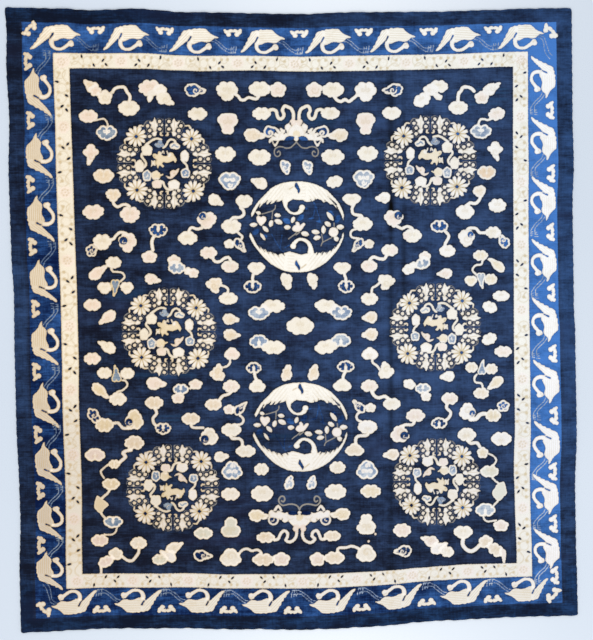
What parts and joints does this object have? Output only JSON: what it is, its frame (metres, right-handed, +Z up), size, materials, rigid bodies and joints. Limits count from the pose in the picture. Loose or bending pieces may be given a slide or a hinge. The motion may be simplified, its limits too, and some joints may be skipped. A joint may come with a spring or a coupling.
{
  "type": "peking rug",
  "caption": "Near-square hand-knotted wool floor rug in navy and ivory, lying flat, with a crane border and a field of clouds.",
  "frame": {"origin": "middle of the underside's box, on the floor", "axes": "+X across the rug, +Y along the warps to the far end, +Z up out of the pile"},
  "size_m": [2.454, 2.706, 0.0106],
  "materials": {
    "wool_pile": "matte, low clipped wool pile"
  },
  "bodies": {
    "root": {"rug": "wool_pile"}
  },
  "joints": []
}
